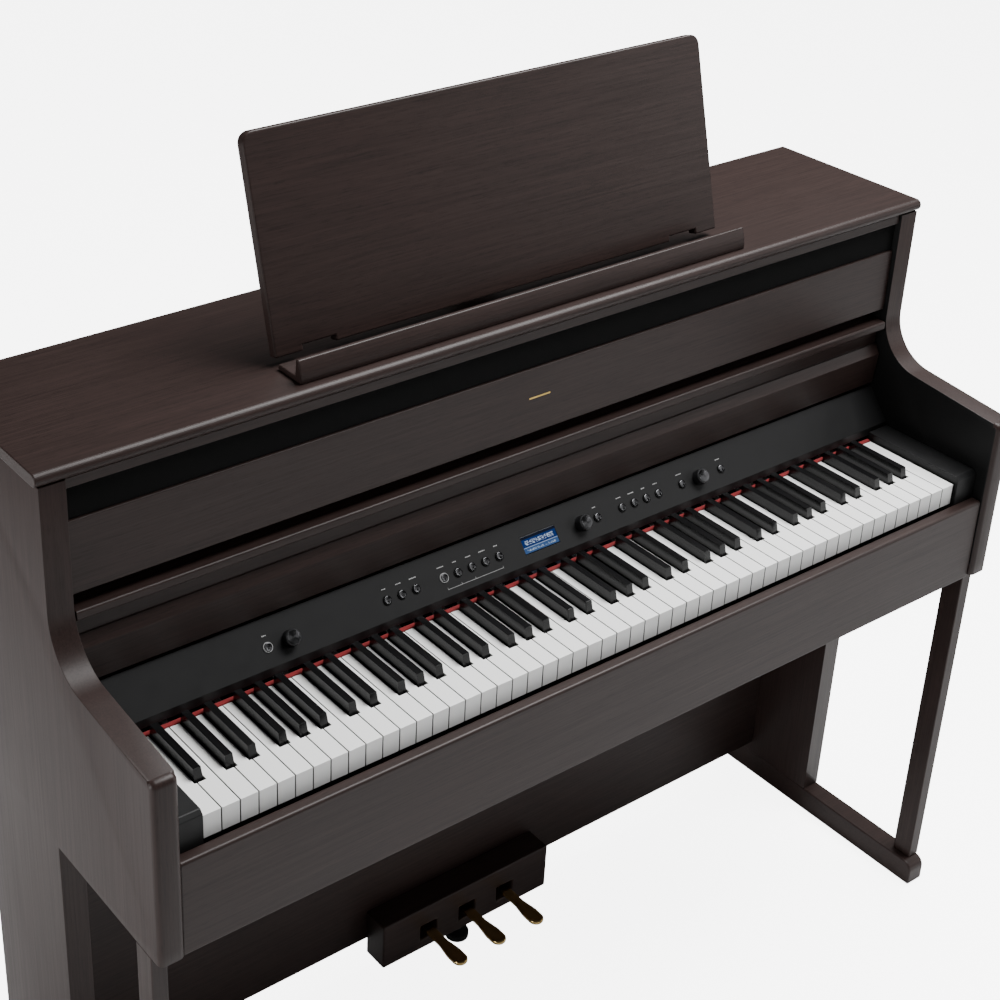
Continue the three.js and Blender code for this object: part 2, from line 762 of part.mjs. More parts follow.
for (const [name, x] of Object.entries(pedalCentres)) {
  const options = { depth: pedalThickness, bevelEnabled: false, curveSegments: 8 };
  const pedal = new THREE.ExtrudeGeometry(pedalOutline(x), options);
  addMesh(name, pedal.translate(0, 0, pedalZ - pedalThickness), brassMetal);
}

// A screw foot under the pedal unit takes the load of a pressed pedal.
const adjusterRadius = 18;
const adjusterRimZ = 10;
const adjusterNeckZ = 14;
const adjusterNeckRadius = 6;
const adjusterTopZ = pedalBoxBottomZ - gap;
const adjuster = addMesh('pedal_adjuster', turnedBody([
  [0, 0],
  [adjusterRadius, 0],
  [adjusterRadius, adjusterRimZ],
  [adjusterNeckRadius, adjusterNeckZ],
  [adjusterNeckRadius, adjusterTopZ],
  [0, adjusterTopZ],
], 20), blackPlastic);
adjuster.position.set(0, (pedalBoxFrontY + modestyFrontY) / 2, 0);

// ---------- electronics: main board, rear jack plate with the power inlet ----------
const mainBoardHalf = 180;
const mainBoardFrontY = 48;
const mainBoardBackY = 170;
const mainBoardBottomZ = 770;
const mainBoardThickness = 2;
addMesh('main_board', box(
  [-mainBoardHalf, mainBoardFrontY, mainBoardBottomZ],
  [mainBoardHalf, mainBoardBackY, mainBoardBottomZ + mainBoardThickness],
), circuitGreen);

const jackPlateLeftX = 300;
const jackPlateRightX = 520;
const jackPlateBottomZ = 640;
const jackPlateTopZ = 700;
const jackPlateThickness = 5;
const jackPlateY = panelBackY + 2 * gap + backThickness;
const pocketFloorY = jackPlateY + 1.5; // the plate is this thick behind each opening
const pocketReach = 20;
const inletLeftX = jackPlateLeftX + 14;
const inletBottomZ = jackPlateBottomZ + 20;
const inletWidth = 28;
const inletHeight = 22;
const jackRadius = 4;
const jackCount = 5;
const jackPitch = 28;
const firstJackX = jackPlateLeftX + 80;
const jackZ = (jackPlateBottomZ + jackPlateTopZ) / 2;

const inletOpening = box(
  [inletLeftX, pocketFloorY, inletBottomZ],
  [inletLeftX + inletWidth, pocketFloorY + pocketReach, inletBottomZ + inletHeight],
);
const jackOpenings = Array.from({ length: jackCount }, (_, index) => (
  new THREE.CylinderGeometry(jackRadius, jackRadius, pocketReach, 12)
    .translate(firstJackX + index * jackPitch, pocketFloorY + pocketReach / 2, jackZ)
));
addMesh('rear_jack_plate', cut(box(
  [jackPlateLeftX, jackPlateY, jackPlateBottomZ],
  [jackPlateRightX, jackPlateY + jackPlateThickness, jackPlateTopZ],
), [inletOpening, ...jackOpenings]), steel);

export default piano;
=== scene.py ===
import json
import math

import bmesh
import bpy
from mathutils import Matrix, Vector


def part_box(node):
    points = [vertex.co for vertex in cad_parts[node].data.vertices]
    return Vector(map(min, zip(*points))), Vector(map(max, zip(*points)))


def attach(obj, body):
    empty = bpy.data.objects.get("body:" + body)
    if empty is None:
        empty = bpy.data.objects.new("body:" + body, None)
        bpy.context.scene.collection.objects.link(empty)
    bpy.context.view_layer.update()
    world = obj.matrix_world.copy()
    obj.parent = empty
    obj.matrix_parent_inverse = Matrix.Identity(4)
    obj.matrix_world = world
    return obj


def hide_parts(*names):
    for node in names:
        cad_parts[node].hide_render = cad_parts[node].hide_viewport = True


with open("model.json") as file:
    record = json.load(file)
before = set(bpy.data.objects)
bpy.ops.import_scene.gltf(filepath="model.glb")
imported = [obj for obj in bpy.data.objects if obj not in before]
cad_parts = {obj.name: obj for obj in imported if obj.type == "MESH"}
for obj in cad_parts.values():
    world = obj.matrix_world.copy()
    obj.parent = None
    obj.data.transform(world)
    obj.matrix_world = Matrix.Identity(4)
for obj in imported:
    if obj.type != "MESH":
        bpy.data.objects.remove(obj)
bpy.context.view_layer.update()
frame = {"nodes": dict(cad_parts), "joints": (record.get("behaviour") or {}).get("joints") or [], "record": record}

collection = bpy.context.scene.collection
record = frame["record"]
joints = {joint["child"]: joint for joint in frame["joints"]}

# ---- Cabinet boards ----
# Particle-board panels wrapped in the film, with eased edges, screwed together with hidden cams.
# The grain runs along the keyboard on the boards across and upwards on the sides and legs.


# A material starts as one Principled shader with plain values; the sections add their own textures.
def plain_material(name, color, roughness, metallic=0.0):
    material = bpy.data.materials.new(name)
    material.use_nodes = True
    shader = material.node_tree.nodes["Principled BSDF"]
    shader.inputs["Base Color"].default_value = (*color, 1)
    shader.inputs["Roughness"].default_value = roughness
    shader.inputs["Metallic"].default_value = metallic
    return material, material.node_tree, shader


# The film: a dark printed wood film with the figure along the board, short dark pores and a satin lacquer.
# The group takes a vector whose X runs along the grain, in metres.
wood = bpy.data.node_groups.new("rosewood_figure", "ShaderNodeTree")
wood.interface.new_socket("Along", in_out="INPUT", socket_type="NodeSocketVector")
wood.interface.new_socket("Color", in_out="OUTPUT", socket_type="NodeSocketColor")
wood.interface.new_socket("Roughness", in_out="OUTPUT", socket_type="NodeSocketFloat")
wood.interface.new_socket("Height", in_out="OUTPUT", socket_type="NodeSocketFloat")
wood_in = wood.nodes.new("NodeGroupInput")
wood_out = wood.nodes.new("NodeGroupOutput")


def wood_noise(stretch, detail, distortion):
    scale = wood.nodes.new("ShaderNodeVectorMath")
    scale.operation = "MULTIPLY"
    scale.inputs[1].default_value = stretch
    noise = wood.nodes.new("ShaderNodeTexNoise")
    noise.inputs["Scale"].default_value = 1.0
    noise.inputs["Detail"].default_value = detail
    noise.inputs["Distortion"].default_value = distortion
    wood.links.new(wood_in.outputs["Along"], scale.inputs[0])
    wood.links.new(scale.outputs["Vector"], noise.inputs["Vector"])
    return noise.outputs["Fac"]


figure = wood_noise((1.6, 16.0, 16.0), 3.0, 0.5)
rings = wood.nodes.new("ShaderNodeMath")
rings.operation = "MULTIPLY"
rings.inputs[1].default_value = 60.0
ring_wave = wood.nodes.new("ShaderNodeMath")
ring_wave.operation = "SINE"
wood.links.new(figure, rings.inputs[0])
wood.links.new(rings.outputs["Value"], ring_wave.inputs[0])
streaks = wood_noise((7.0, 420.0, 420.0), 4.0, 0.0)
pores = wood_noise((55.0, 900.0, 900.0), 2.0, 0.0)

ring_share = wood.nodes.new("ShaderNodeMath")
ring_share.operation = "MULTIPLY_ADD"
ring_share.inputs[1].default_value = 0.05
wood.links.new(ring_wave.outputs["Value"], ring_share.inputs[0])
wood.links.new(streaks, ring_share.inputs[2])
tone = wood.nodes.new("ShaderNodeValToRGB")
tone.color_ramp.elements[0].position = 0.22
tone.color_ramp.elements[0].color = (0.0178, 0.0104, 0.0092, 1)
tone.color_ramp.elements[1].position = 0.80
tone.color_ramp.elements[1].color = (0.0325, 0.0196, 0.0174, 1)
wood.links.new(ring_share.outputs["Value"], tone.inputs["Fac"])
pore_mask = wood.nodes.new("ShaderNodeMapRange")
pore_mask.inputs["From Min"].default_value = 0.34
pore_mask.inputs["From Max"].default_value = 0.44
pore_mask.inputs["To Min"].default_value = 0.72
pore_mask.inputs["To Max"].default_value = 1.0
wood.links.new(pores, pore_mask.inputs["Value"])
darken = wood.nodes.new("ShaderNodeMix")
darken.data_type = "RGBA"
darken.blend_type = "MULTIPLY"
darken.inputs["Factor"].default_value = 1.0
wood.links.new(tone.outputs["Color"], darken.inputs["A"])
wood.links.new(pore_mask.outputs["Result"], darken.inputs["B"])
wood.links.new(darken.outputs["Result"], wood_out.inputs["Color"])
lacquer = wood.nodes.new("ShaderNodeMapRange")
lacquer.inputs["To Min"].default_value = 0.46
lacquer.inputs["To Max"].default_value = 0.34
wood.links.new(streaks, lacquer.inputs["Value"])
wood.links.new(lacquer.outputs["Result"], wood_out.inputs["Roughness"])
wood.links.new(pore_mask.outputs["Result"], wood_out.inputs["Height"])


def wood_material(name, turn, offset):
    material, tree, shader = plain_material(name, (0.03, 0.02, 0.02), 0.42)
    shader.inputs["Specular IOR Level"].default_value = 0.22
    place = tree.nodes.new("ShaderNodeTexCoord")
    along = tree.nodes.new("ShaderNodeMapping")
    along.inputs["Rotation"].default_value = [math.radians(angle) for angle in turn]
    along.inputs["Location"].default_value = offset
    group = tree.nodes.new("ShaderNodeGroup")
    group.node_tree = wood
    bump = tree.nodes.new("ShaderNodeBump")
    bump.inputs["Strength"].default_value = 0.35
    bump.inputs["Distance"].default_value = 0.0002
    tree.links.new(place.outputs["Object"], along.inputs["Vector"])
    tree.links.new(along.outputs["Vector"], group.inputs["Along"])
    tree.links.new(group.outputs["Color"], shader.inputs["Base Color"])
    tree.links.new(group.outputs["Roughness"], shader.inputs["Roughness"])
    tree.links.new(group.outputs["Height"], bump.inputs["Height"])
    tree.links.new(bump.outputs["Normal"], shader.inputs["Normal"])
    return material


wood_across = wood_material("rosewood_across", (0, 0, 0), (0, 0, 0))
wood_up = wood_material("rosewood_up", (0, 90, 0), (0.7, 0.2, 0))
wood_desk = wood_material("rosewood_desk", (15, 0, 0), (0.35, 0.1, 0.4))


def new_piece(name, mesh):
    bmesh.ops.recalc_face_normals(mesh, faces=mesh.faces)
    data = bpy.data.meshes.new(name + "_made")
    mesh.to_mesh(data)
    mesh.free()
    piece = bpy.data.objects.new(name + "_made", data)
    collection.objects.link(piece)
    return piece


def fix(piece, material, node, stands_for=True):
    piece.data.materials.append(material)
    body = next(name for name, nodes in record["behaviour"]["bodies"].items() if node in nodes)
    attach(piece, body)
    if stands_for:
        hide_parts(node)
    return piece


def joined_copy(node):
    mesh = bmesh.new()
    mesh.from_mesh(frame["nodes"][node].data)
    bmesh.ops.remove_doubles(mesh, verts=mesh.verts, dist=1e-5)
    bmesh.ops.dissolve_limit(mesh, angle_limit=math.radians(1), verts=mesh.verts, edges=mesh.edges)
    return mesh


def round_edges(mesh, edges, radius, segments):
    bmesh.ops.bevel(
        mesh, geom=edges, offset=radius, segments=segments, profile=0.5, affect="EDGES", clamp_overlap=True
    )


def sharp_edges(mesh, least_angle=25):
    return [edge for edge in mesh.edges if edge.calc_face_angle(0) > math.radians(least_angle)]


def rounded_copy(node, radius, segments=2):
    mesh = joined_copy(node)
    round_edges(mesh, sharp_edges(mesh), radius, segments)
    return new_piece(node, mesh)


for node, radius, material in (
    ("front_leg_left", 0.0015, wood_up),
    ("front_leg_right", 0.0015, wood_up),
    ("foot_left", 0.0025, wood_across),
    ("foot_right", 0.0025, wood_across),
    ("top_lid", 0.0015, wood_across),
    ("lid_fascia", 0.001, wood_across),
    ("upper_front_panel", 0.0015, wood_across),
    ("back_panel", 0.001, wood_across),
    ("key_slip", 0.002, wood_across),
    ("key_bed", 0.001, wood_across),
    ("modesty_panel", 0.001, wood_across),
    ("pedal_box", 0.0025, wood_across),
    ("fallboard", 0.0008, wood_across),
    ("fallboard_apron", 0.0006, wood_across),
    ("music_desk", 0.0022, wood_desk),
    ("music_ledge", 0.0015, wood_across),
    ("desk_prop", 0.001, wood_desk),
):
    fix(rounded_copy(node, radius, segments=3), material, node)

# ---- Side panels ----
# One film-wrapped board each side with a rounded front corner on the arm. Inside, above the key bed,
# the inward faces get a near-black material: painted shade for the shade that falls on the inner walls.


def smooth(piece, angle=35):
    piece.data.shade_smooth()
    piece.data.set_sharp_from_angle(angle=math.radians(angle))


# A node group: a moulded or brushed skin, given as a grey value and a height, at its true size.
skin = bpy.data.node_groups.new("moulded_skin", "ShaderNodeTree")
skin.interface.new_socket("Vector", in_out="INPUT", socket_type="NodeSocketVector")
skin.interface.new_socket("Value", in_out="OUTPUT", socket_type="NodeSocketFloat")
skin.interface.new_socket("Height", in_out="OUTPUT", socket_type="NodeSocketFloat")
skin_in = skin.nodes.new("NodeGroupInput")
skin_out = skin.nodes.new("NodeGroupOutput")
skin_fine = skin.nodes.new("ShaderNodeTexNoise")
skin_fine.inputs["Scale"].default_value = 1.0
skin_fine.inputs["Detail"].default_value = 3.0
skin_patch = skin.nodes.new("ShaderNodeTexNoise")
skin_patch.inputs["Scale"].default_value = 0.02
skin_patch.inputs["Detail"].default_value = 2.0
skin.links.new(skin_in.outputs["Vector"], skin_fine.inputs["Vector"])
skin.links.new(skin_in.outputs["Vector"], skin_patch.inputs["Vector"])
skin.links.new(skin_fine.outputs["Fac"], skin_out.inputs["Height"])
skin.links.new(skin_patch.outputs["Fac"], skin_out.inputs["Value"])


def add_skin(tree, shader, grain, strength, distance, rough_low, rough_high):
    """Adds the skin: grain is the number of grains per metre along each axis."""
    place = tree.nodes.new("ShaderNodeTexCoord")
    stretch = tree.nodes.new("ShaderNodeMapping")
    stretch.inputs["Scale"].default_value = grain
    group = tree.nodes.new("ShaderNodeGroup")
    group.node_tree = skin
    rough = tree.nodes.new("ShaderNodeMapRange")
    rough.inputs["From Min"].default_value = 0.3
    rough.inputs["From Max"].default_value = 0.7
    rough.inputs["To Min"].default_value = rough_low
    rough.inputs["To Max"].default_value = rough_high
    bump = tree.nodes.new("ShaderNodeBump")
    bump.inputs["Strength"].default_value = strength
    bump.inputs["Distance"].default_value = distance
    tree.links.new(place.outputs["Object"], stretch.inputs["Vector"])
    tree.links.new(stretch.outputs["Vector"], group.inputs["Vector"])
    tree.links.new(group.outputs["Value"], rough.inputs["Value"])
    tree.links.new(rough.outputs["Result"], shader.inputs["Roughness"])
    tree.links.new(group.outputs["Height"], bump.inputs["Height"])
    tree.links.new(bump.outputs["Normal"], shader.inputs["Normal"])


# Painted shade: a near-black material for the inner walls above the key bed, where shade falls.
inner_wall_shade, inner_tree, inner_shader = plain_material("inner_wall_painted_shade", (0.0035, 0.0035, 0.0035), 0.5)
inner_shader.inputs["Specular IOR Level"].default_value = 0.15
add_skin(inner_tree, inner_shader, (1200, 1200, 1200), 0.15, 0.0001, 0.46, 0.58)
arm_corner = 0.007
arm_curve_depth = 0.0105
panel_edge = 0.0012
bed_top_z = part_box("key_bed")[1].z
for node, inward in (("side_panel_left", 1), ("side_panel_right", -1)):
    panel = joined_copy(node)
    bmesh.ops.bisect_plane(
        panel,
        geom=panel.verts[:] + panel.edges[:] + panel.faces[:],
        plane_co=(0, 0, bed_top_z),
        plane_no=(0, 0, 1),
    )
    arm_front_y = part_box(node)[0].y
    corner_edges = [
        edge for edge in panel.edges
        if abs(edge.verts[0].co.x - edge.verts[1].co.x) < 1e-5
        and max(vert.co.y for vert in edge.verts) < arm_front_y + arm_curve_depth
    ]
    round_edges(panel, corner_edges, arm_corner, 5)
    round_edges(panel, sharp_edges(panel), panel_edge, 2)
    panel.normal_update()
    # The inward faces above the key bed take the painted shade.
    for face in panel.faces:
        if face.normal.x * inward > 0.9 and face.calc_center_median().z > bed_top_z:
            face.material_index = 1
    board = fix(new_piece(node, panel), wood_up, node)
    board.data.materials.append(inner_wall_shade)
    smooth(board, 25)

# ---- Speaker cloth ----
# A black cloth over the sound slot under the lid, woven about twelve threads to the centimetre.
# It is glued to a thin frame behind the edges of the upper front panel.
cloth, cloth_tree, cloth_shader = plain_material("speaker_cloth", (0.012, 0.012, 0.012), 0.9)
cloth_shader.inputs["Specular IOR Level"].default_value = 0.1
cloth_place = cloth_tree.nodes.new("ShaderNodeTexCoord")
weave = []
for direction in ("X", "Z"):
    wave = cloth_tree.nodes.new("ShaderNodeTexWave")
    wave.bands_direction = direction
    wave.inputs["Scale"].default_value = 380.0
    wave.inputs["Distortion"].default_value = 0.6
    cloth_tree.links.new(cloth_place.outputs["Object"], wave.inputs["Vector"])
    weave.append(wave)
crossing = cloth_tree.nodes.new("ShaderNodeMath")
crossing.operation = "MULTIPLY"
cloth_tree.links.new(weave[0].outputs["Fac"], crossing.inputs[0])
cloth_tree.links.new(weave[1].outputs["Fac"], crossing.inputs[1])
cloth_tone = cloth_tree.nodes.new("ShaderNodeMapRange")
cloth_tone.inputs["To Min"].default_value = 0.002
cloth_tone.inputs["To Max"].default_value = 0.012
cloth_tree.links.new(crossing.outputs["Value"], cloth_tone.inputs["Value"])
cloth_tree.links.new(cloth_tone.outputs["Result"], cloth_shader.inputs["Base Color"])
cloth_bump = cloth_tree.nodes.new("ShaderNodeBump")
cloth_bump.inputs["Distance"].default_value = 0.0003
cloth_tree.links.new(crossing.outputs["Value"], cloth_bump.inputs["Height"])
cloth_tree.links.new(cloth_bump.outputs["Normal"], cloth_shader.inputs["Normal"])
fix(rounded_copy("speaker_cloth", 0.0006), cloth, "speaker_cloth")

# ---- Black mouldings ----
# Dark grey ABS with a fine spark texture: the control panel, the cheek blocks at the keyboard's
# ends, the chassis under the keys, the loudspeakers' baskets and the screw foot.
moulding, moulding_tree, moulding_shader = plain_material("black_moulding", (0.0065, 0.0065, 0.0068), 0.5)
moulding_shader.inputs["Specular IOR Level"].default_value = 0.25
add_skin(moulding_tree, moulding_shader, (2200, 2200, 2200), 0.25, 0.0001, 0.46, 0.54)
for node, radius in (
    ("control_panel", 0.0006),
    ("cheek_block_left", 0.0008),
    ("cheek_block_right", 0.0008),
    ("key_chassis", 0.0015),
    ("pedal_adjuster", 0.0008),
):
    fix(rounded_copy(node, radius), moulding, node)
for node in ("speaker_left", "speaker_right"):
    speaker = fix(rounded_copy(node, 0.0005), moulding, node)
    smooth(speaker)

# ---- Keys ----
# White keys are moulded with an ivory-feel top and small rounded edges, black ones with an ebony
# feel and rounded edges. The combs stand for the keys that are not hinged.
white, white_tree, white_shader = plain_material("ivory_feel_white", (0.90, 0.90, 0.89), 0.35)
add_skin(white_tree, white_shader, (2600, 180, 2600), 0.12, 0.00006, 0.30, 0.42)
# Painted shade: the keys' sides are the same white moulding, given a dark grey for the shade between keys.
side_shade, side_shade_tree, side_shade_shader = plain_material("key_side_painted_shade", (0.20, 0.19, 0.18), 0.6)
add_skin(side_shade_tree, side_shade_shader, (900, 900, 900), 0.2, 0.0001, 0.55, 0.7)
black, black_tree, black_shader = plain_material("ebony_feel_black", (0.0035, 0.0035, 0.0038), 0.26)
black_shader.inputs["Specular IOR Level"].default_value = 0.3
add_skin(black_tree, black_shader, (1500, 90, 1500), 0.2, 0.00006, 0.20, 0.30)
for node in ("white_keys", "key_c4", "key_d4", "key_e4"):
    key = fix(rounded_copy(node, 0.0005, segments=2), white, node)
    key.data.materials.append(side_shade)
    # Faces that look sideways take the painted shade.
    for face in key.data.polygons:
        if abs(face.normal.x) > 0.9:
            face.material_index = 1
for node in ("black_keys", "key_c_sharp4", "key_d_sharp4"):
    fix(rounded_copy(node, 0.0010, segments=3), black, node)

# ---- Felt strip ----
# A red wool felt behind the keys, laid in a groove, with a short nap.
felt, felt_tree, felt_shader = plain_material("red_felt", (0.20, 0.004, 0.006), 0.95)
felt_shader.inputs["Sheen Weight"].default_value = 0.2
add_skin(felt_tree, felt_shader, (1800, 1800, 1800), 0.4, 0.0002, 0.88, 0.98)
fix(rounded_copy("felt_strip", 0.001), felt, "felt_strip")

# ---- Buttons ----
# Small round caps with a chamfer and a dished, finely turned top, in the sloping panel. Each has a
# thin moulded collar round it; the power button and the first tone button have a lit ring.


def turned(name, profile, base, axis, steps=32, grip=0.0):
    """A closed turned body: profile holds (radius, height along axis) in metres.
    Its map "turned" gives each point's place across the axis in millimetres, and its map "spin" runs
    once round the axis and out along the profile."""
    mesh = bmesh.new()
    across = mesh.loops.layers.uv.new("turned")
    spin = mesh.loops.layers.uv.new("spin")
    turn = Vector(axis).to_track_quat("Z", "Y").to_matrix()
    rings = []
    for radius, height in profile:
        if radius == 0:
            rings.append([mesh.verts.new(Vector(base) + turn @ Vector((0, 0, height)))])
            continue
        ring = []
        for step in range(steps):
            angle = 2 * math.pi * step / steps
            reach = radius * (1 - (grip if step % 2 else 0))
            place = Vector((reach * math.cos(angle), reach * math.sin(angle), height))
            ring.append(mesh.verts.new(Vector(base) + turn @ place))
        rings.append(ring)
    for lower, upper in zip(rings, rings[1:]):
        for step in range(steps):
            after = (step + 1) % steps
            if len(lower) == 1:
                corners = ((lower[0], step + 0.5), (upper[after], step + 1), (upper[step], step))
            elif len(upper) == 1:
                corners = ((lower[step], step), (lower[after], step + 1), (upper[0], step + 0.5))
            else:
                corners = (
                    (lower[step], step), (lower[after], step + 1), (upper[after], step + 1), (upper[step], step)
                )
            face = mesh.faces.new([corner for corner, _ in corners])
            for loop, (corner, reached) in zip(face.loops, corners):
                place = turn.inverted() @ (corner.co - Vector(base)) * 1000
                loop[across].uv = place.xy
                loop[spin].uv = (reached / steps, (place.xy.length - place.z) / 10)
    bmesh.ops.remove_doubles(mesh, verts=mesh.verts, dist=1e-6)
    return new_piece(name, mesh)


cap, cap_tree, cap_shader = plain_material("turned_cap", (0.075, 0.075, 0.078), 0.24, 1.0)
cap_shader.inputs["Anisotropic"].default_value = 0.9
cap_tangent = cap_tree.nodes.new("ShaderNodeTangent")
cap_tangent.direction_type = "UV_MAP"
cap_tangent.uv_map = "spin"
cap_tree.links.new(cap_tangent.outputs["Tangent"], cap_shader.inputs["Tangent"])
cap_map = cap_tree.nodes.new("ShaderNodeUVMap")
cap_map.uv_map = "turned"
cap_rings = cap_tree.nodes.new("ShaderNodeTexWave")
cap_rings.wave_type = "RINGS"
cap_rings.rings_direction = "Z"
cap_rings.inputs["Scale"].default_value = 1.6
cap_rings.inputs["Distortion"].default_value = 0.0
cap_bump = cap_tree.nodes.new("ShaderNodeBump")
cap_bump.inputs["Strength"].default_value = 0.3
cap_bump.inputs["Distance"].default_value = 0.00003
cap_rough = cap_tree.nodes.new("ShaderNodeMapRange")
cap_rough.inputs["To Min"].default_value = 0.16
cap_rough.inputs["To Max"].default_value = 0.26
cap_tree.links.new(cap_map.outputs["UV"], cap_rings.inputs["Vector"])
cap_tree.links.new(cap_rings.outputs["Fac"], cap_bump.inputs["Height"])
cap_tree.links.new(cap_rings.outputs["Fac"], cap_rough.inputs["Value"])
cap_tree.links.new(cap_rough.outputs["Result"], cap_shader.inputs["Roughness"])
cap_tree.links.new(cap_bump.outputs["Normal"], cap_shader.inputs["Normal"])
ring_lit, ring_lit_tree, ring_lit_shader = plain_material("lit_ring", (0.45, 0.45, 0.45), 0.3)
ring_lit_shader.inputs["Emission Color"].default_value = (1, 1, 1, 1)
ring_lit_shader.inputs["Emission Strength"].default_value = 0.12
add_skin(ring_lit_tree, ring_lit_shader, (2000, 2000, 2000), 0.1, 0.00005, 0.28, 0.36)
button_radius = 0.0052
button_half_depth = 0.004
collar_reach = 0.0009
collar_clearance = 0.0003
button_proud = 0.0024
button_tops = {}
for node in sorted(frame["nodes"]):
    if not node.endswith("_button") and "_button_" not in node:
        continue
    low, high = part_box(node)
    outward = -Vector(joints[node]["axis"])
    top = (low + high) / 2 + outward * button_half_depth
    button_tops[node] = top
    profile = (
        (0, -2 * button_half_depth),
        (button_radius, -2 * button_half_depth),
        (button_radius, -0.0008),
        (button_radius - 0.0002, -0.0003),
        (button_radius - 0.0008, 0),
        (button_radius - 0.0014, -0.0001),
        (button_radius - 0.0028, -0.0004),
        (0, -0.0005),
    )
    button = fix(turned(node, profile, top, outward, steps=28), cap, node)
    smooth(button, 30)
    lit = node in ("power_button", "tone_button_a")
    surface = top - outward * button_proud
    collar_profile = (
        (button_radius + collar_clearance, -0.0010),
        (button_radius + collar_reach, -0.0010),
        (button_radius + collar_reach, 0.0002),
        (button_radius + collar_reach - 0.0003, 0.0005),
        (button_radius + 0.0004, 0.0005),
        (button_radius + collar_clearance, 0.0002),
        (button_radius + collar_clearance, -0.0010),
    )
    collar = turned(node + "_collar", collar_profile, surface + outward * 0.0011, outward, steps=28)
    fix(collar, ring_lit if lit else moulding, "control_panel", stands_for=False)

# ---- Knobs ----
# Turned knobs with a ribbed skirt and a spun-metal face, pushed on a shaft.
skirt, skirt_tree, skirt_shader = plain_material("knob_skirt", (0.012, 0.012, 0.013), 0.35)
add_skin(skirt_tree, skirt_shader, (2500, 2500, 2500), 0.2, 0.00006, 0.3, 0.4)
knob_radius = 0.0105
knob_height = 0.012
for node in ("volume_knob", "dial_knob", "tempo_knob"):
    joint = joints[node]
    base = Vector(joint["pos_m"])
    outward = Vector(joint["axis"])
    body_profile = (
        (0, -0.0119),
        (0.0029, -0.0119),
        (0.0029, 0.0004),
        (knob_radius, 0.0004),
        (knob_radius, knob_height - 0.0012),
        (knob_radius - 0.0009, knob_height - 0.0003),
        (knob_radius - 0.0016, knob_height - 0.0003),
        (knob_radius - 0.0016, knob_height - 0.0006),
        (0, knob_height - 0.0006),
    )
    knob = fix(turned(node, body_profile, base, outward, steps=72, grip=0.035), skirt, node)
    smooth(knob, 25)
    face_profile = (
        (0, -0.0004),
        (knob_radius - 0.0020, -0.0004),
        (knob_radius - 0.0020, 0.0002),
        (knob_radius - 0.0026, 0.0003),
        (0, 0.0001),
    )
    face_base = base + outward * (knob_height - 0.0001)
    face = fix(turned(node + "_face", face_profile, face_base, outward, 40), cap, node, stands_for=False)
    smooth(face, 30)

# ---- Panel print ----
# White screen-printed marks on the control panel: a short bar of dashes over each button in place
# of its label, and a bracket line under the tone buttons.


def slabs(name, places):
    """Thin or thick slabs in one mesh: each place is (centre, three half-length vectors)."""
    mesh = bmesh.new()
    for centre, along, up, out in places:
        corners = {}
        for a in (-1, 1):
            for b in (-1, 1):
                for c in (-1, 1):
                    corners[a, b, c] = mesh.verts.new(centre + along * a + up * b + out * c)
        for fixed in (-1, 1):
            mesh.faces.new([corners[fixed, b, c] for b, c in ((-1, -1), (-1, 1), (1, 1), (1, -1))])
            mesh.faces.new([corners[a, fixed, c] for a, c in ((-1, -1), (-1, 1), (1, 1), (1, -1))])
            mesh.faces.new([corners[a, b, fixed] for a, b in ((-1, -1), (-1, 1), (1, 1), (1, -1))])
    return new_piece(name, mesh)


print_white, print_tree, print_shader = plain_material("printed_white", (0.42, 0.42, 0.42), 0.5)
add_skin(print_tree, print_shader, (3000, 3000, 3000), 0.1, 0.00004, 0.45, 0.6)
panel_out = -Vector(joints["power_button"]["axis"])
panel_along = Vector((1, 0, 0))
panel_up = panel_out.cross(panel_along)
print_half = 0.00003
print_drop = button_proud - 1.5 * print_half
dash = 0.0011
dash_half_height = 0.00065
label_rise = 0.0140
line_half = 0.00022
marks = []


def mark(centre, half_width, half_height):
    marks.append((centre, panel_along * half_width, panel_up * half_height, panel_out * print_half))


for count, (_, top) in enumerate(sorted(button_tops.items())):
    surface = top - panel_out * print_drop
    label = surface + panel_up * label_rise
    dashes = 3 + count % 3
    for step in range(dashes):
        shift = (step - (dashes - 1) / 2) * dash * 1.9
        mark(label + panel_along * shift, dash * (0.55 + 0.2 * ((step + count) % 2)), dash_half_height)

tone_first = button_tops["tone_button_a"] - panel_out * print_drop
tone_last = button_tops["tone_button_e"] - panel_out * print_drop
bracket_drop = panel_up * -0.0155
bracket_middle = (tone_first + tone_last) / 2 + bracket_drop
mark(bracket_middle, (tone_last - tone_first).length / 2, line_half)
for share in (0, 0.25, 0.5, 1):
    tick = tone_first.lerp(tone_last, share) + bracket_drop + panel_up * 0.0012
    mark(tick, line_half, 0.0013)
fix(slabs("panel_print", marks), print_white, "control_panel", stands_for=False)

# ---- Display ----
# A clear window over a blue dot display, set flush in the panel. Rows of pale dots at random, about
# 1.2 mm apart, stand for characters.
display, display_tree, display_shader = plain_material("blue_display", (0.002, 0.004, 0.012), 0.2)
display_shader.inputs["Specular IOR Level"].default_value = 0.15
display_low, display_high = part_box("display_window")
window_width = 0.057
window_height = 0.024
display_centre = (display_low + display_high) / 2
window = rounded_copy("display_window", 0.0004)
uv_layer = window.data.uv_layers.new(name="window")
for loop in window.data.loops:
    place = window.data.vertices[loop.vertex_index].co - display_centre
    uv_layer.data[loop.index].uv = (
        place.dot(panel_along) / window_width + 0.5,
        place.dot(panel_up) / window_height + 0.5,
    )
display_uv = display_tree.nodes.new("ShaderNodeUVMap")
display_uv.uv_map = "window"
snap = display_tree.nodes.new("ShaderNodeVectorMath")
snap.operation = "SNAP"
snap.inputs[1].default_value = (1 / 48, 1 / 20, 1.0)
display_tree.links.new(display_uv.outputs["UV"], snap.inputs[0])
